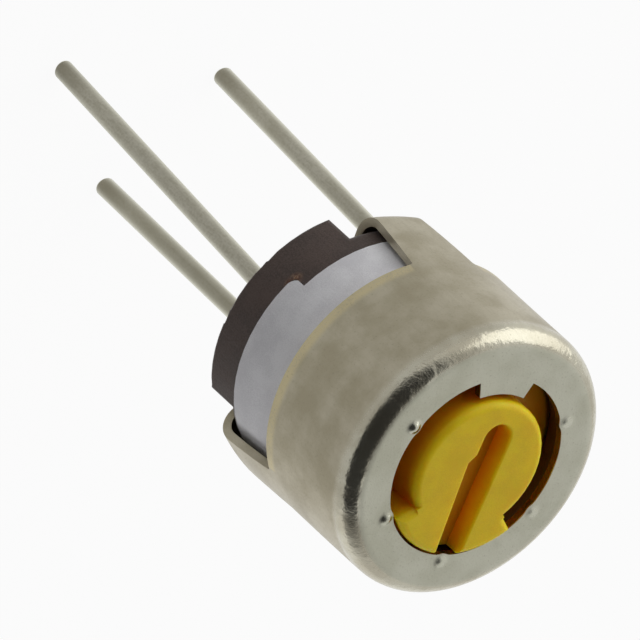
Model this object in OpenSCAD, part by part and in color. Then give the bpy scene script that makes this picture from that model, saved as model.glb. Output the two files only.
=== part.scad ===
// Single-turn trimmer potentiometer: a drawn metal can is folded over a dark base, and it holds
// a ceramic substrate, a sealed rotor with a driver slot, and three wire leads.
// Frame: Z = 0 is the board plane, Z is the rotor's axis, and the can's stop tongue is at +Y.
// Angles are in degrees, counted from +X towards +Y.

/* [Can] */
// Outer diameter of the can
can_d = 6.8; // [6.5:0.1:8]
// Thickness of the can's sheet
sheet_t = 0.2; // [0.15:0.01:0.25]
// Outer radius of the shoulder between the wall and the face
shoulder_r = 0.47; // [0.35:0.01:0.55]
// Diameter of the hole in the face
hole_d = 4.5; // [4.2:0.05:4.6]
// How far the can's wall laps over the substrate, above the windows
rim_lap = 0.3; // [0.2:0.01:0.8]
// Width of a fold-over tab where it leaves the wall
tab_root_w = 1.74; // [1.6:0.02:2]
// Width of a fold-over tab at its fold
tab_tip_w = 1.28; // [1:0.02:1.4]
// Radius of the rounded corner between a tab and the window's rim
tab_corner_r = 0.08; // [0.05:0.01:0.3]
// Angle from the tongue's tab to each of the other two tabs
tab_spread = 140; // [130:1:145]
// Inner radius of the fold
tab_bend_r = 0.35; // [0.25:0.01:0.4]
// Length of a tab's folded foot, past the fold
tab_foot_l = 0.35; // [0.2:0.01:0.45]
// Height of the folded feet above the board
foot_up = 0.42; // [0.1:0.01:0.45]
// Angle that the stop tongue takes up
tongue_w = 39; // [30:1:45]
// Radius of a raised bump at the face
bump_r = 0.21; // [0.16:0.01:0.24]
// Height of a raised bump
bump_h = 0.09; // [0.04:0.01:0.1]
// Distance from the hole's edge to a bump's centre
bump_in = 0.18; // [0.16:0.01:0.26]

/* [Rotor] */
// Gap between the hole's edge and the rotor's head
head_gap = 0.55; // [0.45:0.01:0.65]
// Height of the head above the can's face
head_rise = 0.16; // [0.05:0.01:0.3]
// Radius of the head's rounded rim
head_round = 0.17; // [0.05:0.01:0.2]
// Gap between the stop sector and the hole's edge
stop_gap = 0.06; // [0.03:0.01:0.1]
// Angle that the stop sector takes up
stop_w = 99; // [80:1:110]
// Gap between the head's side and the stop tongue
tongue_gap = 0.15; // [0.04:0.01:0.2]
// Thickness of the flange
flange_t = 1.2; // [0.9:0.01:1.6]
// Depth of the floor round the head, below the can's face
floor_deep = 0.75; // [0.36:0.01:0.85]
// Gap between the rotor's flange and the can's wall
flange_gap = 0.08; // [0.04:0.01:0.1]
// Width of the driver slot
slot_w = 0.72; // [0.5:0.01:0.8]
// Distance of the slot's middle from the rotor's axis
slot_shift = 0.11; // [0:0.01:0.15]
// Depth of the driver slot
slot_deep = 0.5; // [0.35:0.01:0.7]
// Radius of the slot's rounded upper edges
slot_edge_r = 0.06; // [0.02:0.01:0.1]
// Plastic left between the slot's closed end and the head's rim
slot_end_wall = 0.54; // [0.4:0.01:0.8]
// Extra width of the slot's pointer half at the rotor's axis, all on one side
pointer_extra = 0.13; // [0.05:0.01:0.2]
// Length of the slanted step between the slot's two halves
pointer_step_l = 0.2; // [0.1:0.01:0.45]
// How far the pointer half runs past the rotor's axis, up to the step
pointer_back = 0.16; // [0:0.01:0.25]
// Angle by which the stepped side of the pointer half closes in towards its open end
pointer_taper = 4.8; // [1:0.1:6]
// Angle of the rotor from the middle of its travel
rest_turn = -4.5; // [-100:0.5:100]

/* [Seal ring] */
// Thickness of the seal ring's round section
seal_d = 0.72; // [0.6:0.01:0.76]
// Gap between the seal ring and the can's wall
seal_wall_gap = 0.1; // [0.05:0.01:0.15]
// Gap between the seal ring and each face that it runs on
seal_gap = 0.015; // [0.01:0.001:0.03]

/* [Contact spring] */
// Height of the space between the substrate and the rotor
contact_h = 0.75; // [0.65:0.01:0.9]
// Thickness of the contact spring's sheet
spring_t = 0.1; // [0.08:0.01:0.12]
// Radius of the spring's round plate
plate_r = 1.25; // [1.1:0.01:1.35]
// Width of one contact finger
finger_w = 0.16; // [0.1:0.01:0.18]
// Number of fingers side by side on the track
finger_n = 3; // [2:1:4]
// Distance from the middle of one finger to the next
finger_pitch = 0.22; // [0.2:0.01:0.26]
// Radius of the rounded contact at a finger's end
contact_r = 0.08; // [0.06:0.01:0.1]
// Gap between a contact and the film that it runs on
contact_gap = 0.02; // [0.01:0.005:0.04]
// Distance of the two rotor studs from the axis
stud_x = 0.8; // [0.75:0.01:0.85]
// Diameter of a rotor stud
stud_d = 0.4; // [0.3:0.01:0.44]
// Diameter of a stud's flattened head
stud_head_d = 0.64; // [0.55:0.01:0.7]
// Height of a stud's flattened head
stud_head_h = 0.12; // [0.08:0.01:0.15]
// Gap between a stud and the plate round it
stud_gap = 0.02; // [0.01:0.005:0.04]
// How far a stud runs up into the rotor's flange
stud_root = 0.2; // [0.1:0.01:0.3]
// Metal left between the plate's window and its rim
window_wall = 0.25; // [0.2:0.01:0.35]
// Gap at each side of the middle fingers in the plate's window
window_gap = 0.1; // [0.06:0.01:0.14]

/* [Substrate] */
// Gap between the can's wall and the substrate and base inside it
inner_gap = 0.1; // [0.05:0.01:0.15]
// Thickness of the ceramic substrate
substrate_t = 2.05; // [1.9:0.01:2.3]
// Height of the step in the substrate's underside
step_h = 0.38; // [0.2:0.01:0.5]
// Distance of the step from the axis, towards the tongue
step_y = 1.93; // [1.75:0.01:2.2]
// Radius of the rounded edge along the step
step_edge_r = 0.2; // [0.08:0.01:0.24]
// Gap between the step's rounded edge and the base's fillet under it
step_edge_gap = 0.02; // [0.01:0.005:0.04]
// Thickness of the printed films
film_t = 0.04; // [0.03:0.005:0.06]
// Width of the resistive track
track_w = 0.44; // [0.36:0.01:0.5]
// Distance from the track's middle to the end leads
track_in = 0.55; // [0.52:0.01:0.6]
// Angle that the resistive track takes up
track_span = 216; // [200:1:222]
// Angle that each end electrode adds at the track's end
electrode_span = 20; // [16:1:22]
// Radius of the printed pad round a lead
pad_r = 0.38; // [0.36:0.01:0.4]
// Gap between the wiper lead's pad and the track
film_gap = 0.15; // [0.1:0.01:0.2]
// Radius of the collector's middle disc
collector_r = 0.45; // [0.35:0.01:0.55]
// Width of the collector's strip
collector_w = 0.4; // [0.3:0.01:0.5]

/* [Base] */
// Height of the base, up to the substrate
base_h = 0.95; // [0.85:0.01:1.05]
// Size of the countersink round each lead in the underside
lead_sink = 0.12; // [0.05:0.01:0.13]
// Radius of the base's rounded lower edge
base_edge_r = 0.08; // [0.03:0.01:0.12]
// Gap beside a tab's foot, at each side of its recess
recess_side_gap = 0.41; // [0.2:0.01:0.5]
// Gap at the end of a tab's foot
recess_end_gap = 0.12; // [0.05:0.01:0.2]
// Radius of the rounded corner at each side of a recess
recess_corner_r = 0.15; // [0.08:0.01:0.2]
// Gap between the base's shoulder and the fold round it
bend_gap = 0.1; // [0.02:0.01:0.12]

/* [Leads] */
// Diameter of a wire lead
lead_d = 0.45; // [0.4:0.01:0.5]
// Length of the leads below the board plane
lead_l = 8.7; // [3:0.1:12]
// Radius of the rounding at a lead's tip
lead_tip_r = 0.07; // [0.03:0.01:0.12]
// Distance of the two end leads from the substrate's rim
end_lead_in = 0.5; // [0.45:0.01:0.52]
// Angle between +Y and each end lead
end_lead_angle = 63.4; // [58:0.1:68]
// Gap between a lead and its hole
lead_gap = 0.02; // [0.01:0.005:0.04]
// Radius of the slight elbow where a lead leaves the base
lead_elbow_r = 1; // [0.5:0.1:2]
// Diameter of a lead's flattened head
lead_head_d = 0.6; // [0.56:0.01:0.64]
// Height of a lead's flattened head
lead_head_h = 0.12; // [0.08:0.01:0.16]
// Width of the solder fillet round a lead's head
solder_w = 0.07; // [0.04:0.01:0.08]
// Sideways shift of the first end lead's tip along X, from slight bending
lead_1_lean_x = 0.18; // [-0.6:0.01:0.6]
// Sideways shift of the first end lead's tip along Y
lead_1_lean_y = 0.52; // [-0.6:0.01:0.6]
// Sideways shift of the wiper lead's tip along X
lead_2_lean_x = 0.27; // [-0.6:0.01:0.6]
// Sideways shift of the wiper lead's tip along Y
lead_2_lean_y = -0.02; // [-0.6:0.01:0.6]
// Sideways shift of the second end lead's tip along X
lead_3_lean_x = 0.17; // [-0.6:0.01:0.6]
// Sideways shift of the second end lead's tip along Y
lead_3_lean_y = 0.38; // [-0.6:0.01:0.6]

/* [Hidden] */
$fn = 96;
// How far a cutting shape runs past the solid that it cuts
past = 1;
// How far two shapes of one solid run into each other
overlap = 0.2;

can_r = can_d / 2;
wall_r = can_r - sheet_t;
hole_r = hole_d / 2;
tongue_angle = 90;
pointer_angle = 270;
tab_angles = [tongue_angle, tongue_angle + tab_spread, tongue_angle - tab_spread];
// The bumps stand about 60 degrees apart, with none at the tongue
bump_angles = [28, 155, 213, 270, 331];

// Fold of a tab, in radius and height: its centre, and the faces of its foot
shelf_z = foot_up + sheet_t;
bend_c_r = wall_r - tab_bend_r;
bend_c_z = shelf_z + tab_bend_r;
foot_end_r = bend_c_r - tab_foot_l;

// Heights from the board up
inner_r = wall_r - inner_gap;
substrate_top = base_h + substrate_t;
window_rim_z = substrate_top - rim_lap;
film_top = substrate_top + film_t;
rotor_under = substrate_top + contact_h;
flange_top = rotor_under + flange_t;
face_under_z = flange_top + seal_d + 2 * seal_gap;
can_h = face_under_z + sheet_t;
floor_z = can_h - floor_deep;
head_z = can_h + head_rise;

// Radii of the rotor's steps
flange_r = wall_r - flange_gap;
boss_r = wall_r - seal_wall_gap - seal_d - seal_gap;
head_r = hole_r - head_gap;
stop_r = hole_r - stop_gap;
tongue_r = head_r + tongue_gap;

// Places of the leads and of the films that meet them
lead_r = lead_d / 2;
lead_hole_r = lead_r + lead_gap;
end_lead_r = inner_r - end_lead_in;
track_r = end_lead_r - track_in;
wiper_lead_r = track_r - track_w / 2 - film_gap - pad_r;
lead_1_angle = tongue_angle + end_lead_angle;
lead_3_angle = tongue_angle - end_lead_angle;
lead_1_at = end_lead_r * [cos(lead_1_angle), sin(lead_1_angle)];
lead_2_at = wiper_lead_r * [cos(pointer_angle), sin(pointer_angle)];
lead_3_at = end_lead_r * [cos(lead_3_angle), sin(lead_3_angle)];
lead_places = [lead_1_at, lead_2_at, lead_3_at];

// Half of the section of a round cup with a rounded upper corner
module cup_half(r, low, top, corner) {
    translate([0, low])
        square([r - corner, top - low]);
    translate([0, low])
        square([r, top - corner - low]);
    translate([r - corner, top - corner])
        circle(corner);
}

// A tab seen from outside: straight below the fold, wider towards the rim, with rounded corners
module tab_outline() {
    half_root = tab_root_w / 2;
    half_tip = tab_tip_w / 2;
    slant = atan((half_root - half_tip) / (window_rim_z - bend_c_z));
    corner_x = half_root + tab_corner_r * (1 - sin(slant)) / cos(slant);
    corner_z = window_rim_z - tab_corner_r;
    polygon([
        [-half_root, window_rim_z + overlap], [half_root, window_rim_z + overlap],
        [half_root, window_rim_z], [half_tip, bend_c_z], [half_tip, -past],
        [-half_tip, -past], [-half_tip, bend_c_z], [-half_root, window_rim_z]
    ]);
    for (side = [-1, 1])
        scale([side, 1])
            difference() {
                polygon([
                    [half_root - overlap, window_rim_z + overlap],
                    [corner_x, window_rim_z + overlap],
                    [corner_x, corner_z],
                    [corner_x - tab_corner_r * cos(slant), corner_z + tab_corner_r * sin(slant)]
                ]);
                translate([corner_x, corner_z])
                    circle(tab_corner_r);
            }
}

// Section through the wall, the fold and the foot of a tab
module tab_section() {
    translate([wall_r, bend_c_z])
        square([sheet_t, window_rim_z + overlap - bend_c_z]);
    intersection() {
        translate([bend_c_r, bend_c_z])
            difference() {
                circle(tab_bend_r + sheet_t);
                circle(tab_bend_r);
            }
        translate([bend_c_r, foot_up])
            square([tab_bend_r + sheet_t, tab_bend_r + sheet_t]);
    }
    translate([foot_end_r, foot_up])
        square([tab_foot_l, sheet_t]);
}

module metal_cap() {
    color([0.70, 0.69, 0.64])
        difference() {
            union() {
                rotate_extrude()
                    difference() {
                        cup_half(can_r, window_rim_z, can_h, shoulder_r);
                        cup_half(wall_r, window_rim_z - past, face_under_z, shoulder_r - sheet_t);
                        square([hole_r, can_h + past]);
                    }
                intersection() {
                    rotate_extrude()
                        tab_section();
                    union()
                        for (angle = tab_angles)
                            rotate([90, 0, 90 + angle])
                                linear_extrude(can_d)
                                    tab_outline();
                }
                rotate([0, 0, tongue_angle - tongue_w / 2])
                    rotate_extrude(angle = tongue_w)
                        translate([tongue_r, face_under_z])
                            square([hole_r + overlap - tongue_r, sheet_t]);
                intersection() {
                    bump_balls(0);
                    rotate_extrude()
                        translate([hole_r, face_under_z])
                            square([can_r - hole_r, sheet_t + past]);
                }
            }
            bump_balls(sheet_t);
        }
}

// Balls whose tops are the raised bumps round the hole, or lie under them by the sheet's thickness
module bump_balls(under) {
    ball_r = (bump_r * bump_r + bump_h * bump_h) / (2 * bump_h);
    for (angle = bump_angles)
        rotate([0, 0, angle])
            translate([hole_r + bump_in, 0, can_h + bump_h - ball_r])
                sphere(ball_r - under);
}

// Section of the space beside one wall of the driver slot, with the wall's upper edge rounded
module slot_side() {
    translate([-can_d, -slot_deep])
        square([can_d, slot_deep + past]);
    difference() {
        translate([-overlap, -slot_edge_r])
            square([overlap + slot_edge_r, slot_edge_r + past]);
        translate([slot_edge_r, -slot_edge_r])
            circle(slot_edge_r);
    }
}

// The space beside one slot wall that crosses the point [0, y] and is turned by an angle
module beside_wall(y, turn) {
    translate([0, y, 0])
        rotate([90, 0, 90 + turn])
            translate([0, 0, -can_d])
                linear_extrude(2 * can_d)
                    slot_side();
}

// The whole slot: a round-ended half, and a wider pointer half that is open at its end
module driver_slot() {
    far_y = slot_shift + slot_w / 2;
    near_y = far_y - slot_w;
    end_x = head_r - slot_end_wall - slot_w / 2;
    step_turn = atan(pointer_extra / pointer_step_l);
    pointer_y = pointer_extra - near_y;
    step_y_at_axis = pointer_y + pointer_back * tan(step_turn);
    low = -slot_deep - past;
    tall = slot_deep + 2 * past;
    translate([0, 0, head_z]) {
        intersection() {
            beside_wall(far_y, 0);
            mirror([0, 1, 0])
                beside_wall(-near_y, 0);
            translate([-end_x, -can_r, low])
                cube([end_x, can_d, tall]);
        }
        translate([-end_x, slot_shift, 0])
            rotate_extrude()
                intersection() {
                    translate([slot_w / 2, 0])
                        slot_side();
                    translate([0, low])
                        square([slot_w, tall]);
                }
        intersection() {
            beside_wall(far_y, 0);
            mirror([0, 1, 0])
                beside_wall(pointer_y, -pointer_taper);
            mirror([0, 1, 0])
                beside_wall(step_y_at_axis, step_turn);
            translate([-pointer_back - pointer_step_l - overlap, -can_r, low])
                cube([can_d, can_d, tall]);
        }
    }
}

// Half of the section of a round boss with a rounded rim, from inside the flange up
module head_half(r) {
    cup_half(r, flange_top, head_z, head_round);
}

// The stop sector, with its two side edges rounded like its rim; it points along +X
module stop_sector() {
    side = head_round;
    difference() {
        rotate([0, 0, -stop_w / 2])
            rotate_extrude(angle = stop_w)
                head_half(stop_r);
        for (turn = [0, 1])
            mirror([0, turn, 0])
                rotate([0, 0, stop_w / 2])
                    translate([head_r, 0, head_z - side])
                        rotate([90, 0, 90])
                            linear_extrude(stop_r)
                                difference() {
                                    translate([-side, 0])
                                        square([side + past, side + past]);
                                    translate([-side, 0])
                                        circle(side);
                                }
    }
}

// The two studs under the rotor, with heads flattened over the contact spring
module studs() {
    head_top = rotor_under - spring_t - stud_gap;
    for (side = [-1, 1])
        translate([0, side * stud_x, head_top]) {
            cylinder(h = rotor_under - head_top + stud_root, d = stud_d);
            mirror([0, 0, 1])
                cylinder(h = stud_head_h, d = stud_head_d);
        }
}

module rotor() {
    color([0.78, 0.68, 0.18])
        rotate([0, 0, pointer_angle + rest_turn]) {
            difference() {
                union() {
                    rotate_extrude() {
                        translate([0, rotor_under])
                            square([flange_r, flange_top - rotor_under]);
                        translate([0, rotor_under])
                            square([boss_r, floor_z - rotor_under]);
                        head_half(head_r);
                    }
                    stop_sector();
                }
                driver_slot();
            }
            studs();
        }
}

module seal_ring() {
    color([0.16, 0.15, 0.15])
        rotate_extrude()
            translate([boss_r + seal_gap + seal_d / 2, flange_top + seal_gap + seal_d / 2])
                circle(d = seal_d);
}

// A flat strip of spring sheet from one point to another, with round ends
module strip(from, to) {
    run = to - from;
    translate(from)
        rotate(atan2(run[1], run[0]))
            translate([0, -spring_t / 2])
                square([norm(run), spring_t]);
    for (end = [from, to])
        translate(end)
            circle(d = spring_t);
}

// Side view of a finger, from its root in the plate to its rounded contact
module finger_side(root_x, contact_x) {
    root = [root_x, rotor_under - spring_t / 2];
    contact = [contact_x, film_top + contact_gap + contact_r];
    strip(root, contact);
    translate(contact)
        circle(contact_r);
}

module finger(root_x, contact_x) {
    rotate([90, 0, 0])
        translate([0, 0, -finger_w / 2])
            linear_extrude(finger_w)
                finger_side(root_x, contact_x);
}

module contact_spring() {
    window_w = 2 * finger_w + 2 * window_gap;
    window_end_x = window_wall - plate_r;
    row_half = (finger_n - 1) * finger_pitch / 2;
    color([0.80, 0.62, 0.32])
        rotate([0, 0, pointer_angle + rest_turn]) {
            difference() {
                translate([0, 0, rotor_under - spring_t])
                    cylinder(h = spring_t, r = plate_r);
                translate([window_end_x, -window_w / 2, rotor_under - spring_t - past])
                    cube([-window_end_x + 2 * contact_r, window_w, spring_t + 2 * past]);
                for (side = [-1, 1])
                    translate([0, side * stud_x, rotor_under - spring_t - past])
                        cylinder(h = spring_t + 2 * past, d = stud_d + 2 * stud_gap);
            }
            for (i = [0:finger_n - 1])
                translate([0, i * finger_pitch - row_half, 0])
                    finger(plate_r - window_wall, track_r);
            for (side = [-1, 1])
                translate([0, side * finger_w / 2, 0])
                    finger(window_end_x, 0);
        }
}

module ceramic_substrate() {
    color([0.86, 0.85, 0.86])
        difference() {
            translate([0, 0, base_h])
                cylinder(h = substrate_t, r = inner_r);
            step_block(base_h - past, base_h + step_h);
            step_edge(past, 0);
            lead_holes(base_h - past, substrate_top + past);
        }
}

// The space on the tongue's side of the step, between two heights
module step_block(low, top) {
    translate([-can_d / 2, step_y, low])
        cube([can_d, can_d, top - low]);
}

// What lies outside the step's rounded edge, down by some depth and out by some gap
module step_edge(deep, gap) {
    translate([-can_d / 2, step_y - step_edge_r, base_h])
        rotate([90, 0, 90])
            linear_extrude(can_d)
                difference() {
                    translate([0, -deep])
                        square([step_edge_r + deep, step_edge_r + deep]);
                    translate([0, step_edge_r])
                        circle(step_edge_r + gap);
                }
}

module lead_holes(low, top) {
    for (place = lead_places)
        translate([place[0], place[1], low])
            cylinder(h = top - low, r = lead_hole_r);
}

// A flat ring sector on the substrate's upper face, centred on an angle
module film_arc(middle, span) {
    translate([0, 0, substrate_top])
        rotate([0, 0, middle - span / 2])
            rotate_extrude(angle = span)
                translate([track_r - track_w / 2, 0])
                    square([track_w, film_t]);
}

module resistive_track() {
    color([0.14, 0.13, 0.14])
        film_arc(pointer_angle, track_span);
}

// An end electrode: the last stretch of the wiper's path, joined to the pad round its lead
module end_electrode(place, side) {
    color([0.78, 0.77, 0.74])
        difference() {
            union() {
                film_arc(pointer_angle + side * (track_span + electrode_span) / 2, electrode_span);
                translate([place[0], place[1], substrate_top])
                    cylinder(h = film_t, r = pad_r);
            }
            lead_holes(substrate_top - past, film_top + past);
        }
}

module collector() {
    color([0.78, 0.77, 0.74])
        difference() {
            translate([0, 0, substrate_top])
                linear_extrude(film_t) {
                    circle(collector_r);
                    translate([-collector_w / 2, -wiper_lead_r])
                        square([collector_w, wiper_lead_r]);
                    translate(lead_2_at)
                        circle(pad_r);
                }
            lead_holes(substrate_top - past, film_top + past);
        }
}

// What a folded tab takes out of the base, in radius and height
module recess_section() {
    translate([foot_end_r - recess_end_gap, -past])
        square([can_r, shelf_z + past]);
    difference() {
        translate([bend_c_r, -past])
            square([can_r, bend_c_z + past]);
        translate([bend_c_r, bend_c_z])
            circle(tab_bend_r - bend_gap);
    }
}

// Plan of a recess: straight sides, with the base's corners beside it rounded
module recess_plan() {
    half_w = tab_tip_w / 2 + recess_side_gap;
    round_y = half_w + recess_corner_r;
    round_x = sqrt(pow(inner_r - recess_corner_r, 2) - round_y * round_y);
    tangent = inner_r / (inner_r - recess_corner_r);
    translate([0, -half_w])
        square([can_r, 2 * half_w]);
    for (side = [-1, 1])
        scale([1, side])
            difference() {
                polygon([
                    [round_x, half_w - overlap], [can_r, half_w - overlap], [can_r, half_w],
                    [round_x * tangent, round_y * tangent], [round_x, round_y]
                ]);
                translate([round_x, round_y])
                    circle(recess_corner_r);
            }
}

module base() {
    color([0.25, 0.21, 0.21])
        difference() {
            union() {
                rotate_extrude()
                    intersection() {
                        translate([0, base_h])
                            mirror([0, 1])
                                cup_half(inner_r, 0, base_h, base_edge_r);
                        square([can_r, base_h]);
                    }
                intersection() {
                    translate([0, 0, base_h - step_h])
                        cylinder(h = 2 * step_h, r = inner_r);
                    step_block(base_h - step_h, base_h + step_h);
                }
                intersection() {
                    cylinder(h = base_h + step_edge_r, r = inner_r);
                    step_edge(overlap, step_edge_gap);
                }
            }
            intersection() {
                rotate_extrude()
                    recess_section();
                union()
                    for (angle = tab_angles)
                        rotate([0, 0, angle])
                            translate([0, 0, -past])
                                linear_extrude(bend_c_z + past)
                                    recess_plan();
            }
            lead_holes(-past, base_h + past);
            for (place = lead_places)
                translate([place[0], place[1], -past])
                    cylinder(lead_sink + past, lead_hole_r + lead_sink + past, lead_hole_r);
        }
}

// Angle of a lead whose tip stands off by a sideways shift, past an elbow of lead_elbow_r
function lean_angle(shift) =
    asin(lead_elbow_r / norm([lead_l, shift - lead_elbow_r]))
    + atan((shift - lead_elbow_r) / lead_l);

// A lead: a flattened head on its pad, straight through substrate and base, then a slight lean
module lead(place, lean) {
    angle = lean_angle(norm(lean));
    elbow_x = lead_elbow_r * (1 - cos(angle));
    elbow_z = lead_elbow_r * sin(angle);
    color([0.66, 0.65, 0.60])
        translate([place[0], place[1], 0]) {
            translate([0, 0, film_top])
                cylinder(h = lead_head_h, d = lead_head_d);
            cylinder(h = film_top + lead_head_h / 2, r = lead_r);
            rotate([0, 0, atan2(lean[1], lean[0])]) {
                if (angle > 0)
                    translate([lead_elbow_r, 0, 0])
                        rotate([0, 180, 0])
                            rotate([90, 0, 0])
                                rotate_extrude(angle = angle)
                                    translate([lead_elbow_r, 0])
                                        circle(lead_r);
                translate([elbow_x, 0, -elbow_z])
                    rotate([0, -angle, 0])
                        mirror([0, 0, 1])
                            rotate_extrude()
                                cup_half(lead_r, 0, (lead_l - elbow_z) / cos(angle), lead_tip_r);
            }
        }
}

// A fillet of solder round a lead's head
module solder_joint(place) {
    low_r = lead_head_d / 2;
    color([0.74, 0.74, 0.72])
        translate([place[0], place[1], film_top])
            rotate_extrude()
                polygon([[low_r, 0], [low_r + solder_w, 0], [low_r, lead_head_h]]);
}

metal_cap();
rotor();
seal_ring();
contact_spring();
ceramic_substrate();
resistive_track();
end_electrode(lead_1_at, -1);  // end_electrode_1
end_electrode(lead_3_at, 1);  // end_electrode_3
collector();
base();
lead(lead_1_at, [lead_1_lean_x, lead_1_lean_y]);  // lead_1
lead(lead_2_at, [lead_2_lean_x, lead_2_lean_y]);  // lead_2
lead(lead_3_at, [lead_3_lean_x, lead_3_lean_y]);  // lead_3
solder_joint(lead_1_at);  // solder_joint_1
solder_joint(lead_2_at);  // solder_joint_2
solder_joint(lead_3_at);  // solder_joint_3
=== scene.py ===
"""Looks of a single-turn trimmer potentiometer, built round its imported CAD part."""

import bpy
import numpy as np
from mathutils import Matrix, Vector


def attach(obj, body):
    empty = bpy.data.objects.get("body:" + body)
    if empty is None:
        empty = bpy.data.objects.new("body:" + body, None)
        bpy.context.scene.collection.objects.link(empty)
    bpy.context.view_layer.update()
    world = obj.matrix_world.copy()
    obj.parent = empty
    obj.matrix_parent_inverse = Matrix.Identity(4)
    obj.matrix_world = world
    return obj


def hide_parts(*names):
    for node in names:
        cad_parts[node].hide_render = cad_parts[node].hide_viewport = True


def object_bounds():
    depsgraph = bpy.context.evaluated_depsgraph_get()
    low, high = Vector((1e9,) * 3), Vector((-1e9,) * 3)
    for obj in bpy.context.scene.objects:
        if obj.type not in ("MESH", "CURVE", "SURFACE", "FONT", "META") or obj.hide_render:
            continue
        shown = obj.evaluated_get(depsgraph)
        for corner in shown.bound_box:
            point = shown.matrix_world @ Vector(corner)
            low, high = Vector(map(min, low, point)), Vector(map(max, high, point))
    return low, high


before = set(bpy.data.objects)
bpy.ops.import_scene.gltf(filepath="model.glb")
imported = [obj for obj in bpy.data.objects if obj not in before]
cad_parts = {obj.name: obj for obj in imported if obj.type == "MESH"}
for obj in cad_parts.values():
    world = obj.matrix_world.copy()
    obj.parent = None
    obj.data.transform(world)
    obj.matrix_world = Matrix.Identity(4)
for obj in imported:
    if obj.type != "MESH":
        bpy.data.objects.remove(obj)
cad_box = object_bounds()

# The can: one drawn sheet of nickel-plated steel, 0.2 mm thick, with a rounded shoulder, a
# pierced hole with a stop tongue, five small pressed bumps, and three tabs folded over the base.
# Its outer face is built in mm, and modifiers thicken it inwards and break its edges.

MM = 0.001
SHEET, EDGE_R = 0.2, 0.025
CAN_R, SHOULDER_R, FACE_Z, RIM_Z = 3.4, 0.47, 5.9, 2.70
HOLE_R, TONGUE_R, TONGUE_HALF = 2.25, 1.85, 19.5
TAB_ANGLES = (230, 310, 450)
TAB_ROOT, TAB_TIP, TAB_CORNER_R = 0.87, 0.64, 0.08
FOLD_R, FOLD_Z, FOLD_OUT, FOOT_END = 2.85, 0.97, 0.55, 2.5
TAB_FLATNESS, TAB_FLAT_REACH = 0.5, 1.5
BUMP_ANGLES = np.radians([28, 155, 213, 270, 331])
BUMP_HEIGHTS = (0.045, 0.09, 0.075, 0.055, 0.04)
BUMP_AT, BUMP_R = 2.41, 0.22
PINCH_DEPTH, PINCH_ANGLE, PINCH_REACH = 0.045, 0.055, 0.3
WAVE_DEPTH, WAVE_FROM_R, WAVE_RISE, WAVE_FADE = 0.012, 2.6, 0.8, 0.6
STRIP_H, STRIP_AT_TAB = 0.45, 0.15
COLUMN_STEP, TAB_COLUMNS = np.radians(0.75), 41


def make_object(name, points, *faces):
    """A smooth mesh object from points in mm and arrays of faces that index them."""
    mesh = bpy.data.meshes.new(name)
    listed = [face for group in faces for face in group.tolist()]
    mesh.from_pydata((points * MM).tolist(), [], listed)
    mesh.shade_smooth()
    mesh.update()
    made = bpy.data.objects.new(name, mesh)
    bpy.context.scene.collection.objects.link(made)
    return made


def quads(index):
    """The quads between neighbours in a table of vertex numbers; rows x columns points outward."""
    table = np.stack([index[:-1, :-1], index[1:, :-1], index[1:, 1:], index[:-1, 1:]], axis=-1)
    return table.reshape(-1, 4)


def turned(radius, angle, height):
    """Points at a radius and an angle round the Z axis, at a height."""
    radius, angle, height = np.broadcast_arrays(radius, angle, height)
    return np.stack([radius * np.cos(angle), radius * np.sin(angle), height], axis=-1)


def bump_height(points):
    """Sum of five raised cosines of the distance to each bump's middle, as in a pressed dimple."""
    height = np.zeros(points.shape[:2])
    for angle, rise in zip(BUMP_ANGLES, BUMP_HEIGHTS):
        middle = BUMP_AT * np.array([np.cos(angle), np.sin(angle)])
        away = np.linalg.norm(points[..., :2] - middle, axis=-1)
        height += rise * 0.5 * (1 + np.cos(np.pi * np.minimum(away / BUMP_R, 1)))
    return height


def pinch(radius, angle):
    """How far the bumps draw in the hole's edge: a bell curve of the angle to each bump, which
    fades with the distance from the edge."""
    away = [(angle - middle + np.pi) % (2 * np.pi) - np.pi for middle in BUMP_ANGLES]
    bell = sum(np.exp(-part ** 2 / PINCH_ANGLE ** 2) for part in away)
    return PINCH_DEPTH * bell * np.clip(1 - (radius - HOLE_R) / PINCH_REACH, 0, 1)


def unevenness(angle, height):
    """Slow waves of the drawn wall, between 0 and 1, from sines of the angle and the height."""
    return 0.5 + 0.25 * np.sin(2 * angle + 0.6) + 0.25 * np.sin(5 * angle + 1.7 * height + 2.1)


patches, faces, strips = [], [], []


def add_patch(points, strip):
    """Adds a grid of points, each with its share of the yellower strip along the rim, to the
    can, and gives the table of their vertex numbers."""
    count = sum(len(patch) for patch in patches)
    patches.append(points.reshape(-1, 3))
    strips.append(np.broadcast_to(strip, points.shape[:2]).ravel())
    return count + np.arange(points[..., 0].size).reshape(points.shape[:2])


# Columns of points run once round the can, from one side of the tongue past the tabs to its
# other side. A tab's own columns cover it from corner to corner.
slant = np.arctan((TAB_ROOT - TAB_TIP) / (RIM_Z - FOLD_Z))
corner_x = TAB_ROOT + TAB_CORNER_R * (1 - np.sin(slant)) / np.cos(slant)
corner_z = RIM_Z - TAB_CORNER_R
across = np.linspace(-1, 1, TAB_COLUMNS)
tab_columns = np.arcsin(corner_x * across / CAN_R)
stops = [90 + TONGUE_HALF, *TAB_ANGLES[:2], 450 - TONGUE_HALF, TAB_ANGLES[2], 450 + TONGUE_HALF]
columns, tab_starts = [np.radians(stops[0])], []
for degrees in stops[1:]:
    stop, is_tab = np.radians(degrees), degrees in TAB_ANGLES
    reach = stop - tab_columns[-1] if is_tab else stop
    steps = int(np.ceil((reach - columns[-1]) / COLUMN_STEP))
    columns.extend(np.linspace(columns[-1], reach, steps + 1)[1:])
    if is_tab:
        tab_starts.append(len(columns) - 1)
        columns.extend(stop + tab_columns[1:])
    elif degrees < stops[-1]:
        tongue_start = len(columns) - 1
columns = np.array(columns[:-1])

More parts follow.
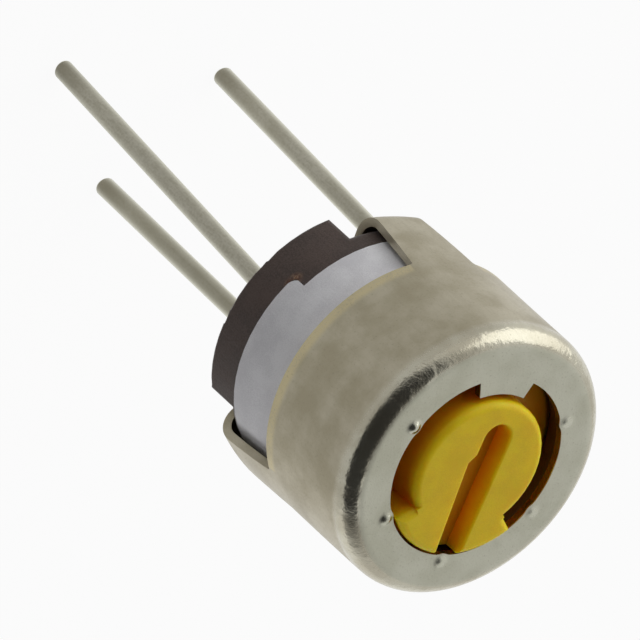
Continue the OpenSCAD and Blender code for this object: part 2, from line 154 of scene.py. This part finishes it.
# Rings of points run from the hole's edge over the face and the shoulder down to the wall's rim.
face_r = np.linspace(HOLE_R, CAN_R - SHOULDER_R, 19)
turn = np.linspace(0, np.pi / 2, 15)[1:]
wall_z = np.concatenate([
    np.linspace(FACE_Z - SHOULDER_R, 3.1, 8)[1:], np.linspace(3.02, RIM_Z, 7),
])
ring_r = np.concatenate([
    face_r, CAN_R - SHOULDER_R * (1 - np.sin(turn)), np.full(wall_z.size, CAN_R),
])[:, None]
ring_z = np.concatenate([
    np.full(face_r.size, FACE_Z), FACE_Z - SHOULDER_R * (1 - np.cos(turn)), wall_z,
])[:, None]
wave = unevenness(columns, ring_z) * np.clip((ring_r - WAVE_FROM_R) / WAVE_RISE, 0, 1)
ring = turned(ring_r - pinch(ring_r, columns) - WAVE_DEPTH * wave, columns, ring_z)
ring[..., 2] += bump_height(ring)
above_rim = np.clip(1 - (ring_z - RIM_Z) / STRIP_H, 0, 1)
ring_strip = np.where(ring_r >= CAN_R, above_rim, 0) * np.ones(columns.size)
for start in tab_starts:
    ring_strip[:, start:start + TAB_COLUMNS] *= STRIP_AT_TAB
ring_index = add_patch(ring, ring_strip)
ring_index = np.hstack([ring_index, ring_index[:, :1]])
faces.append(quads(ring_index))

tongue_columns = np.append(columns[tongue_start:], columns[0] + 2 * np.pi)
tongue_r = np.linspace(TONGUE_R, HOLE_R, 10)[:-1, None]
tongue_index = add_patch(turned(tongue_r, tongue_columns, FACE_Z), 0.0)
faces.append(quads(np.vstack([tongue_index, ring_index[0, tongue_start:]])))

# A tab narrows from its rounded root corners, folds round the base, and ends in a foot.
corner = np.linspace(np.pi / 2, slant, 7)[1:]
drop = np.linspace(corner_z + TAB_CORNER_R * np.sin(slant), FOLD_Z, 16)[1:]
fold = np.linspace(0, np.pi / 2, 14)[1:]
foot = np.linspace(FOLD_R, FOOT_END, 6)[1:]
tab_half_w = np.concatenate([
    corner_x - TAB_CORNER_R * np.cos(corner),
    TAB_TIP + (drop - FOLD_Z) * np.tan(slant),
    np.full(fold.size + foot.size, TAB_TIP),
])[:, None]
tab_r = np.concatenate([
    np.full(corner.size + drop.size, CAN_R), FOLD_R + FOLD_OUT * np.cos(fold), foot,
])[:, None]
tab_z = np.concatenate([
    corner_z + TAB_CORNER_R * np.sin(corner),
    drop,
    FOLD_Z - FOLD_OUT * np.sin(fold),
    np.full(foot.size, FOLD_Z - FOLD_OUT),
])[:, None]
flat = TAB_FLATNESS * np.clip((RIM_Z - tab_z) / TAB_FLAT_REACH, 0, 1)
tab_x = tab_half_w * across
tab_y = (1 - flat) * np.sqrt(tab_r ** 2 - tab_x ** 2) + flat * tab_r
for angle, start in zip(TAB_ANGLES, tab_starts):
    own = slice(start, start + TAB_COLUMNS)
    ahead, side = np.radians(angle), np.radians(angle + 90)
    sag = WAVE_DEPTH * unevenness(columns[own], RIM_Z)
    tab_out = tab_y - sag * np.clip(1 - (RIM_Z - tab_z) / WAVE_FADE, 0, 1)
    tab = np.stack([
        tab_out * np.cos(ahead) + tab_x * np.cos(side),
        tab_out * np.sin(ahead) + tab_x * np.sin(side),
        tab_z + 0 * tab_x,
    ], axis=-1)
    faces.append(quads(np.vstack([ring_index[-1, own], add_patch(tab, 0.0)])))

can = make_object("can_sheet", np.vstack(patches), *faces)
rim_strip = can.data.attributes.new("rim_strip", "FLOAT", "POINT")
rim_strip.data.foreach_set("value", np.concatenate(strips))
sheet = can.modifiers.new("sheet", "SOLIDIFY")
sheet.thickness, sheet.offset, sheet.use_even_offset = SHEET * MM, -1, True
edges = can.modifiers.new("edges", "BEVEL")
edges.width, edges.segments, edges.angle_limit = EDGE_R * MM, 2, np.radians(50)
edges.harden_normals = True
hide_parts("metal_cap")
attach(can, "housing")


def new_material(name):
    """An empty node material with its node tree and its shader."""
    material = bpy.data.materials.new(name)
    material.use_nodes = True
    return material, material.node_tree, material.node_tree.nodes["Principled BSDF"]


def add(tree, kind, links=(), **values):
    """Adds one shader node. The links feed its inputs; the values set its properties or its
    inputs, and at_1 is the input with number 1."""
    made = tree.nodes.new("ShaderNode" + kind)
    for key, value in values.items():
        if key.startswith("at_"):
            made.inputs[int(key[3:])].default_value = value
        elif hasattr(made, key):
            setattr(made, key, value)
        else:
            made.inputs[key].default_value = value
    for key, source in dict(links).items():
        tree.links.new(source, made.inputs[key])
    return made


def feed(tree, made, inputs):
    """Feeds a node's inputs, by number or name, with sockets, colours or numbers."""
    for key, value in inputs.items():
        if isinstance(value, bpy.types.NodeSocket):
            tree.links.new(value, made.inputs[key])
        else:
            made.inputs[key].default_value = (*value, 1) if isinstance(value, tuple) else value


def blend(tree, share, first, second):
    """Mixes two colours by a share."""
    made = add(tree, "Mix", data_type="RGBA")
    feed(tree, made, {0: share, 6: first, 7: second})
    return made.outputs[2]


def between(tree, share, first, second):
    """Mixes two numbers by a share."""
    made = add(tree, "Mix")
    feed(tree, made, {0: share, 2: first, 3: second})
    return made.outputs[0]


def product(tree, first, second):
    """Product of two numbers."""
    made = add(tree, "Math", operation="MULTIPLY")
    feed(tree, made, {0: first, 1: second})
    return made.outputs[0]


def total(tree, first, second):
    """Sum of two numbers."""
    return add(tree, "Math", {0: first, 1: second}, operation="ADD").outputs[0]


def ramp(tree, source, low, high, at_low=0.0, at_high=1.0):
    """A smooth step of a number between two places, from one level to another."""
    made = add(
        tree, "MapRange", {"Value": source}, interpolation_type="SMOOTHSTEP",
        at_1=low, at_2=high, at_3=at_low, at_4=at_high,
    )
    return made.outputs["Result"]


def place_in_mm(tree):
    """Object coordinates in millimetres."""
    where = add(tree, "TexCoord").outputs["Object"]
    return add(tree, "VectorMath", {0: where}, operation="SCALE", Scale=1 / MM).outputs[0]


def new_group(name, inputs, outputs):
    """An empty shader node group with named sockets, its input node and its output node."""
    tree = bpy.data.node_groups.new(name, "ShaderNodeTree")
    for label, value in inputs.items():
        socket = tree.interface.new_socket(label, in_out="INPUT", socket_type="NodeSocketFloat")
        socket.default_value = value
    for label in outputs:
        tree.interface.new_socket(label, in_out="OUTPUT", socket_type="NodeSocketFloat")
    return tree, tree.nodes.new("NodeGroupInput"), tree.nodes.new("NodeGroupOutput")


def make_mottle():
    """Group: broad smudges, fine grain and streaks along Z, as noise over millimetre places."""
    tree, given, out = new_group(
        "mottle",
        {"Smudge Size": 1.0, "Grain Size": 0.05, "Streak Size": 0.08, "Streak Length": 12.0},
        ("Smudge", "Grain", "Streak"),
    )
    place = place_in_mm(tree)
    apart = add(tree, "SeparateXYZ", {0: place}).outputs
    length = given.outputs["Streak Length"]
    short = add(tree, "Math", {0: apart[2], 1: length}, operation="DIVIDE").outputs[0]
    drawn = add(tree, "CombineXYZ", {0: apart[0], 1: apart[1], 2: short}).outputs[0]
    for label, source, detail in (
        ("Smudge", place, 4.0), ("Grain", place, 2.0), ("Streak", drawn, 2.0),
    ):
        size = given.outputs[label + " Size"]
        rate = add(tree, "Math", {1: size}, operation="DIVIDE", at_0=1.0).outputs[0]
        noise = add(tree, "TexNoise", {"Vector": source, "Scale": rate}, Detail=detail)
        tree.links.new(noise.outputs["Fac"], out.inputs[label])
    return tree


def make_axis_place():
    """Group: radius from the Z axis and height above the board, both in millimetres."""
    tree, _, out = new_group("axis_place", {}, ("Radius", "Height"))
    place = place_in_mm(tree)
    level = add(tree, "VectorMath", {0: place}, operation="MULTIPLY", at_1=(1, 1, 0)).outputs[0]
    length = add(tree, "VectorMath", {0: level}, operation="LENGTH")
    tree.links.new(length.outputs["Value"], out.inputs["Radius"])
    tree.links.new(add(tree, "SeparateXYZ", {0: place}).outputs[2], out.inputs["Height"])
    return tree


mottle = make_mottle()
axis_place = make_axis_place()


def with_mottle(tree, smudge, grain, streak=0.08, stretch=12.0):
    """Adds the mottle group with its sizes in millimetres, and gives its three outputs."""
    made = add(tree, "Group", node_tree=mottle)
    feed(tree, made, {
        "Smudge Size": smudge, "Grain Size": grain, "Streak Size": streak, "Streak Length": stretch,
    })
    return made.outputs["Smudge"], made.outputs["Grain"], made.outputs["Streak"]


def finish_surface(tree, shader, color, rough, height, depth, metallic=0.0):
    """Feeds the shader's colour and roughness, and a bump of some depth in millimetres."""
    relief = add(tree, "Bump", {"Height": height}, Strength=1.0, Distance=depth * MM)
    tree.links.new(color, shader.inputs["Base Color"])
    tree.links.new(rough, shader.inputs["Roughness"])
    tree.links.new(relief.outputs["Normal"], shader.inputs["Normal"])
    shader.inputs["Metallic"].default_value = metallic


def can_material():
    """Dull nickel: a satin face, a polished shoulder, a smudged wall in darker, warmer tones, a
    yellower strip along the window rim, and painted shade on the hole's cut edge.
    """
    material, tree, shader = new_material("can_nickel")
    smudge, grain, streak = with_mottle(tree, 0.9, 0.045, 0.1, 9.0)
    place = add(tree, "Group", node_tree=axis_place)
    radius, height = place.outputs["Radius"], place.outputs["Height"]
    on_face = ramp(tree, height, FACE_Z - 0.035, FACE_Z - 0.003)
    on_bump = ramp(tree, height, FACE_Z + 0.005, FACE_Z + 0.03)
    on_wall = ramp(tree, height, FACE_Z - 0.40, FACE_Z - 0.65)
    below_face = ramp(tree, height, FACE_Z - 0.003, FACE_Z - 0.04)
    on_shoulder = product(tree, below_face, ramp(tree, height, FACE_Z - 0.6, FACE_Z - 0.4))
    in_hole = ramp(tree, radius, HOLE_R + 0.02, HOLE_R - 0.015)
    on_cut = product(tree, in_hole, ramp(tree, height, FACE_Z - 0.015, FACE_Z - 0.04))
    strip = add(tree, "Attribute", attribute_name="rim_strip").outputs["Fac"]
    on_strip = ramp(tree, strip, 0.25, 0.65)

    smudged = ramp(tree, smudge, 0.32, 0.68)
    clean = blend(tree, smudged, (0.50, 0.465, 0.36), (0.60, 0.575, 0.465))
    # The wall takes darker, warmer tones than the face and shoulder.
    wall_tone = blend(tree, smudged, (0.40, 0.357, 0.25), (0.52, 0.475, 0.36))
    streaks = product(tree, ramp(tree, streak, 0.45, 0.75), 0.2)
    wall = blend(tree, streaks, wall_tone, (0.39, 0.345, 0.245))
    satin = blend(tree, ramp(tree, smudge, 0.35, 0.65), (0.535, 0.53, 0.425), (0.60, 0.595, 0.49))
    color = blend(tree, product(tree, on_wall, 0.9), clean, wall)
    color = blend(tree, on_face, color, satin)
    # A yellower tint along the window rim.
    rim_tint = product(tree, on_strip, ramp(tree, total(tree, smudge, grain), 0.55, 1.1))
    color = blend(tree, product(tree, rim_tint, 0.9), color, (0.62, 0.54, 0.33))
    specks = product(tree, ramp(tree, grain, 0.62, 0.75), 0.4)
    color = blend(tree, specks, color, (0.30, 0.27, 0.21))
    # Painted shade: the hole's cut edge is painted dark brown.
    color = blend(tree, product(tree, on_cut, 0.85), color, (0.11, 0.075, 0.04))

    rough = between(tree, on_face, 0.17, 0.40)
    rough = between(tree, on_wall, rough, 0.34)
    rough = between(tree, on_bump, rough, 0.10)
    rough = total(tree, rough, product(tree, ramp(tree, grain, 0.3, 0.7), 0.1))

    _, dent, _ = with_mottle(tree, 1.0, 0.17)
    dented = product(tree, on_shoulder, ramp(tree, smudge, 0.36, 0.62))
    lines = product(tree, product(tree, on_wall, streak), 0.6)
    dents = product(tree, product(tree, dented, dent), 6.0)
    relief = total(tree, total(tree, grain, lines), dents)
    finish_surface(tree, shader, color, rough, relief, depth=0.0035, metallic=1.0)
    return material


can.data.materials.append(can_material())

# The rotor: one moulding in translucent yellow thermoplastic, with a driver slot that is wider on
# its pointer side, and a stop sector. It turns in the can's hole, over the seal ring.

HEAD_Z, SLOT_Z = 6.06, 5.56


def dress(node, material):
    """Gives a carried-over CAD node its material."""
    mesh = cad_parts[node].data
    mesh.materials.clear()
    mesh.materials.append(material)


def plain_material(name, dark, light, rough, sizes, depth, metallic=0.0):
    """A material mottled between two tones, with a roughness range and a fine relief."""
    material, tree, shader = new_material(name)
    smudge, grain, streak = with_mottle(tree, *sizes)
    color = blend(tree, ramp(tree, between(tree, 0.4, smudge, grain), 0.36, 0.64), dark, light)
    rough = ramp(tree, smudge, 0.3, 0.7, *rough)
    finish_surface(tree, shader, color, rough, total(tree, grain, streak), depth, metallic)
    return material


def rotor_material():
    """Translucent yellow, with painted shade: more orange in its depth, and darker brown on the
    slot's up-facing floor.
    """
    material = plain_material(
        "rotor_yellow", (0.81, 0.565, 0.004), (0.91, 0.665, 0.009),
        rough=(0.36, 0.5), sizes=(0.7, 0.035), depth=0.003,
    )
    tree = material.node_tree
    shader = tree.nodes["Principled BSDF"]
    height = add(tree, "Group", node_tree=axis_place).outputs["Height"]
    upright = add(tree, "SeparateXYZ", {0: add(tree, "TexCoord").outputs["Normal"]}).outputs[2]
    mottled = shader.inputs["Base Color"].links[0].from_socket
    # Painted shade: below the head's top the colour turns orange, as the yellow plastic looks in
    # its shaded depths.
    shallow = ramp(tree, height, SLOT_Z + 0.04, HEAD_Z - 0.01)
    painted_depth_shade = blend(tree, shallow, (0.93, 0.42, 0.006), mottled)
    # Painted shade: the slot's up-facing floor is darkened to brown.
    above = ramp(tree, height, SLOT_Z - 0.06, SLOT_Z - 0.02)
    slot_floor = product(tree, above, ramp(tree, height, SLOT_Z + 0.14, SLOT_Z + 0.02))
    painted_floor_shade = product(tree, slot_floor, ramp(tree, upright, 0.4, 0.9, 0.0, 0.6))
    tree.links.new(blend(tree, painted_floor_shade, painted_depth_shade, (0.55, 0.23, 0.006)), shader.inputs["Base Color"])
    shader.inputs["Specular IOR Level"].default_value = 0.25
    shader.inputs["Subsurface Weight"].default_value = 0.75
    shader.inputs["Subsurface Radius"].default_value = (1.0, 0.35, 0.04)
    shader.inputs["Subsurface Scale"].default_value = 0.55 * MM
    return material


dress("rotor", rotor_material())

# Under the rotor: a moulded seal ring of dark silicone rubber against the can's face, and the
# wiper, a bright copper-alloy spring with fingers on the track.

dress("seal_ring", plain_material(
    "seal_rubber", (0.060, 0.026, 0.012), (0.095, 0.045, 0.020),
    rough=(0.35, 0.55), sizes=(0.4, 0.03), depth=0.003,
))
dress("contact_spring", plain_material(
    "spring_alloy", (0.72, 0.52, 0.30), (0.86, 0.67, 0.42),
    rough=(0.18, 0.3), sizes=(0.4, 0.02), depth=0.001, metallic=1.0,
))

# The substrate: a pressed and fired ceramic disc, matt and faintly lilac, with its printed films:
# a black cermet track, and silver electrodes and collector.

dress("ceramic_substrate", plain_material(
    "fired_ceramic", (0.72, 0.71, 0.735), (0.86, 0.855, 0.875),
    rough=(0.6, 0.8), sizes=(0.8, 0.03), depth=0.004,
))
dress("resistive_track", plain_material(
    "cermet_film", (0.02, 0.02, 0.022), (0.05, 0.05, 0.055),
    rough=(0.4, 0.6), sizes=(0.3, 0.02), depth=0.002,
))
silver = plain_material(
    "silver_film", (0.58, 0.56, 0.52), (0.76, 0.74, 0.7),
    rough=(0.35, 0.5), sizes=(0.3, 0.02), depth=0.002, metallic=1.0,
)
for node in ("end_electrode_1", "end_electrode_3", "collector"):
    dress(node, silver)

# The base: a matt dark brown moulding, fine-grained and with a faint sheen, with a trace of
# reddish adhesive in the corner of the substrate's step.

STEP_CORNER, BEAD_EDGE, BEAD_CORE = (0, 1.86, 1.02), 0.24, 0.08


def resin_material():
    """Dark resin, with adhesive where the distance to the line of the step's corner is small."""
    material = plain_material(
        "base_resin", (0.056, 0.037, 0.030), (0.100, 0.071, 0.060),
        rough=(0.5, 0.7), sizes=(0.9, 0.04), depth=0.006,
    )
    tree = material.node_tree
    shader = tree.nodes["Principled BSDF"]
    section = add(
        tree, "VectorMath", {0: place_in_mm(tree)}, operation="MULTIPLY", at_1=(0, 1, 1)
    ).outputs[0]
    away = add(tree, "VectorMath", {0: section}, operation="DISTANCE", at_1=STEP_CORNER)
    smudge, grain, _ = with_mottle(tree, 0.3, 0.05)
    near = ramp(tree, away.outputs["Value"], BEAD_EDGE, BEAD_CORE)
    bead = product(tree, near, ramp(tree, smudge, 0.25, 0.5))
    adhesive = blend(tree, ramp(tree, grain, 0.4, 0.6), (0.11, 0.042, 0.022), (0.26, 0.155, 0.09))
    mottled = shader.inputs["Base Color"].links[0].from_socket
    tree.links.new(blend(tree, bead, mottled, adhesive), shader.inputs["Base Color"])
    shader.inputs["Specular IOR Level"].default_value = 0.3
    shader.inputs["Sheen Weight"].default_value = 0.35
    shader.inputs["Sheen Roughness"].default_value = 0.4
    return material


dress("base", resin_material())

# The leads: three 0.45 mm copper-alloy wires with a dull tin coat, drawn, cut at the tip, and
# flattened over the substrate's pads, where a fillet of solder holds each of them.

WIRE_R, WIRE_TOP, WIRE_L, ELBOW_R, TIP_R, AROUND = 0.225, 3.16, 8.7, 1.0, 0.07, 48
HEAD_DEPTHS, HEAD_RADII = [0, 0, 0.03, 0.09, 0.12, 0.12], [0.13, 0.27, 0.30, 0.30, 0.27, WIRE_R]
TIP_RADII = [0.10, 0.04]
CUT_DEPTH, CUT_REACH = 0.05, 0.09
LEADS = (
    (1, (-2.3248, 1.1642), (0.18, 0.52), 200),
    (2, (0.0, -1.30), (0.27, -0.02), 40),
    (3, (2.3248, 1.1642), (0.17, 0.38), 320),
)


def wire(name, place, lean, cut):
    """A bent wire: circles along a straight, an elbow arc and a leaning straight, with closed
    poles. It stands at a place; lean is its tip's shift from there, and cut the direction in
    degrees towards which the sheared tip slopes."""
    shift = np.hypot(*lean)
    to_tip = np.hypot(WIRE_L, shift - ELBOW_R)
    bend = np.arcsin(ELBOW_R / to_tip) + np.arctan((shift - ELBOW_R) / WIRE_L)
    elbow_end = WIRE_TOP + ELBOW_R * bend
    end = elbow_end + (WIRE_L - ELBOW_R * np.sin(bend)) / np.cos(bend)
    tip = np.linspace(0, np.pi / 2, 7)
    shaft = np.concatenate([
        np.linspace(0.16, WIRE_TOP, 8),
        WIRE_TOP + ELBOW_R * bend * np.linspace(0.2, 1, 5),
        np.linspace(elbow_end, end - TIP_R, 50)[1:-1],
    ])
    along = np.concatenate([HEAD_DEPTHS, shaft, end - TIP_R + TIP_R * np.sin(tip), [end, end]])
    radius = np.concatenate([
        HEAD_RADII, np.full(shaft.size, WIRE_R), WIRE_R - TIP_R * (1 - np.cos(tip)), TIP_RADII,
    ])[:, None]
    past = np.clip(along - WIRE_TOP, 0, None)
    angle = np.clip(past / ELBOW_R, 0, bend)
    run = past - ELBOW_R * angle
    out = ELBOW_R * (1 - np.cos(angle)) + run * np.sin(angle)
    down = np.minimum(along, WIRE_TOP) - WIRE_TOP + ELBOW_R * np.sin(angle) + run * np.cos(angle)

    around = np.linspace(0, 2 * np.pi, AROUND + 1)[:-1]
    near_tip = np.clip((along - end + CUT_REACH) / CUT_REACH, 0, 1)[:, None]
    slope = CUT_DEPTH * near_tip * (1 + np.cos(around - np.radians(cut))) / 2
    side, angle = radius * np.cos(around), angle[:, None]
    x = out[:, None] + side * np.cos(angle) - slope * np.sin(angle)
    y = radius * np.sin(around)
    z = -down[:, None] + side * np.sin(angle) + slope * np.cos(angle)
    toward = np.arctan2(lean[1], lean[0])
    points = np.stack([
        place[0] + x * np.cos(toward) - y * np.sin(toward),
        place[1] + x * np.sin(toward) + y * np.cos(toward),
        z,
    ], axis=-1)

    index = np.arange(points[..., 0].size).reshape(points.shape[:2])
    rows = np.hstack([index, index[:, :1]])
    poles = np.array([points[0].mean(axis=0), points[-1].mean(axis=0)])
    first, last = np.full(AROUND, index.size), np.full(AROUND, index.size + 1)
    top = np.stack([rows[0, 1:], rows[0, :-1], first], axis=-1)
    bottom = np.stack([rows[-1, :-1], rows[-1, 1:], last], axis=-1)
    return make_object(name, np.vstack([points.reshape(-1, 3), poles]), quads(rows), top, bottom)


def tin_material():
    """Dull tin on wire: fine drawing lines along Z, darker smudges, a darker, browner end towards
    the tip and, at a grazing view, a paler colour that is a painted reflection."""
    material, tree, shader = new_material("dull_tin")
    smudge, grain, streak = with_mottle(tree, 3.5, 0.06, 0.05, 8.0)
    height = add(tree, "Group", node_tree=axis_place).outputs["Height"]
    grazing = add(tree, "LayerWeight", Blend=0.5).outputs["Facing"]
    color = blend(tree, ramp(tree, smudge, 0.35, 0.65), (0.36, 0.34, 0.26), (0.50, 0.48, 0.395))
    lines = product(tree, ramp(tree, streak, 0.42, 0.7), 0.3)
    specks = product(tree, ramp(tree, grain, 0.4, 0.65), 0.3)
    color = blend(tree, total(tree, lines, specks), color, (0.33, 0.31, 0.23))
    # Darker and browner over the last 1.7 mm of height towards the tip.
    at_tip = product(tree, ramp(tree, height, 1.7 - WIRE_L, -WIRE_L), 0.7)
    color = blend(tree, at_tip, color, (0.24, 0.22, 0.16))
    # Painted reflection: the colour turns paler where the wire is seen at a grazing angle.
    color = blend(tree, ramp(tree, grazing, 0.25, 0.85, 0.0, 0.85), color, (0.86, 0.85, 0.72))
    rough = total(tree, ramp(tree, smudge, 0.3, 0.7, 0.26, 0.36), product(tree, grain, 0.12))
    relief = total(tree, grain, streak)
    finish_surface(tree, shader, color, rough, relief, depth=0.0035, metallic=1.0)
    return material


dull_tin = tin_material()
for number, place, lean, cut in LEADS:
    lead = wire(f"lead_wire_{number}", place, lean, cut)
    lead.data.materials.append(dull_tin)
    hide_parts(f"lead_{number}")
    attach(lead, "housing")
solder = plain_material(
    "solder", (0.58, 0.58, 0.56), (0.76, 0.76, 0.74),
    rough=(0.22, 0.34), sizes=(0.3, 0.03), depth=0.002, metallic=1.0,
)
for node in ("solder_joint_1", "solder_joint_2", "solder_joint_3"):
    dress(node, solder)

# The stage: a white floor under the lead tips, which metal mirrors more brightly on its far side,
# a white studio that is dim behind the camera, a soft key lamp at the tongue's side, two fill
# lamps that metal doesn't mirror, and a long-lens camera.

FLOOR_HALF, FLOOR_DROP = 1.2, 0.02 * MM
SEEN_WHITE, MIRRORED_NEAR, MIRRORED_FAR = 0.94, 0.34, 0.9
FAR_SIDE, NEAR_EDGE, FAR_EDGE = (0.853, -0.522, 0), -10 * MM, 14 * MM
low = cad_box[0].z - FLOOR_DROP
corners = FLOOR_HALF * np.array([(-1, -1), (1, -1), (1, 1), (-1, 1)])
floor_mesh = bpy.data.meshes.new("floor")
floor_mesh.from_pydata([(x, y, low) for x, y in corners], [], [(0, 1, 2, 3)])
floor = bpy.data.objects.new("floor", floor_mesh)
bpy.context.scene.collection.objects.link(floor)
paper, tree, shader = new_material("floor_paper")
shader.inputs["Base Color"].default_value = (0.8, 0.8, 0.8, 1)
shader.inputs["Roughness"].default_value = 0.9
shader.inputs["Specular IOR Level"].default_value = 0.1
ray = add(tree, "LightPath")
seen = product(tree, ray.outputs["Is Camera Ray"], SEEN_WHITE)
where = add(tree, "TexCoord").outputs["Object"]
beyond = add(tree, "VectorMath", {0: where}, operation="DOT_PRODUCT", at_1=FAR_SIDE)
brightness = ramp(
    tree, beyond.outputs["Value"], NEAR_EDGE, FAR_EDGE, MIRRORED_NEAR, MIRRORED_FAR
)
mirrored = product(tree, ray.outputs["Is Glossy Ray"], brightness)
glow = add(tree, "Emission", Color=(1, 1, 1, 1), Strength=1.0).outputs[0]
mix = add(tree, "MixShader", {0: total(tree, seen, mirrored), 1: shader.outputs[0], 2: glow})
tree.links.new(mix.outputs[0], tree.nodes["Material Output"].inputs["Surface"])
floor_mesh.materials.append(paper)

DIM_SIDE = Vector((-0.689, -0.159, 0.707)).normalized()
world = bpy.data.worlds.new("studio")
bpy.context.scene.world = world
world.use_nodes = True
tree = world.node_tree
studio = tree.nodes["Background"]
way = add(tree, "TexCoord").outputs["Generated"]
nearness = add(tree, "VectorMath", {0: way}, operation="DOT_PRODUCT", at_1=DIM_SIDE)
shade = ramp(tree, nearness.outputs["Value"], 0.20, 0.77, 0.74, 0.042)
to_camera = add(tree, "LightPath").outputs["Is Camera Ray"]
tree.links.new(between(tree, to_camera, shade, 1.0), studio.inputs["Strength"])
studio.inputs["Color"].default_value = (1, 1, 1, 1)


def softbox(name, toward, distance, size, radiance):
    """A square lamp that faces the part's middle; its power is radiance times pi times area."""
    lamp = bpy.data.lights.new(name, "AREA")
    lamp.shape = "SQUARE"
    lamp.size = size
    lamp.energy = radiance * np.pi * size * size
    made = bpy.data.objects.new(name, lamp)
    bpy.context.scene.collection.objects.link(made)
    away = Vector(toward).normalized()
    made.location = away * distance
    made.rotation_mode = "QUATERNION"
    made.rotation_quaternion = away.to_track_quat("Z", "Y")
    made.visible_camera = False
    return made


softbox("key_box", (0.64, 0.70, 0.28), distance=0.12, size=0.14, radiance=0.98)
far_fill = softbox("far_fill_box", (-0.10, 0.97, 0.20), distance=0.15, size=0.06, radiance=1.5)
near_fill = softbox(
    "near_fill_box", (-0.34, -0.94, 0.10), distance=0.15, size=0.06, radiance=5.0
)
far_fill.visible_glossy = near_fill.visible_glossy = False

PIXELS_ACROSS, PIXELS_PER_MM = 640, 45.3
CAMERA_DISTANCE = 0.5
AIM = Vector((0.03344, 0.0545664, -0.4)) * MM
camera_right = Vector((0.7711, 0.3203, 0.5505))
camera_up = Vector((0.0018, 0.8633, -0.5050))
camera_back = camera_right.cross(camera_up).normalized()
frame_width = PIXELS_ACROSS / PIXELS_PER_MM * MM
lens_data = bpy.data.cameras.new("camera")
lens_data.sensor_width = 36
lens_data.lens = lens_data.sensor_width * CAMERA_DISTANCE / frame_width
lens_data.clip_start, lens_data.clip_end = 0.01, 10
camera = bpy.data.objects.new("camera", lens_data)
bpy.context.scene.collection.objects.link(camera)
axes = Matrix((camera_right, camera_up, camera_back)).transposed()
camera.matrix_world = Matrix.Translation(AIM + camera_back * CAMERA_DISTANCE) @ axes.to_4x4()
bpy.context.scene.camera = camera
bpy.context.scene.view_settings.view_transform = "Standard"
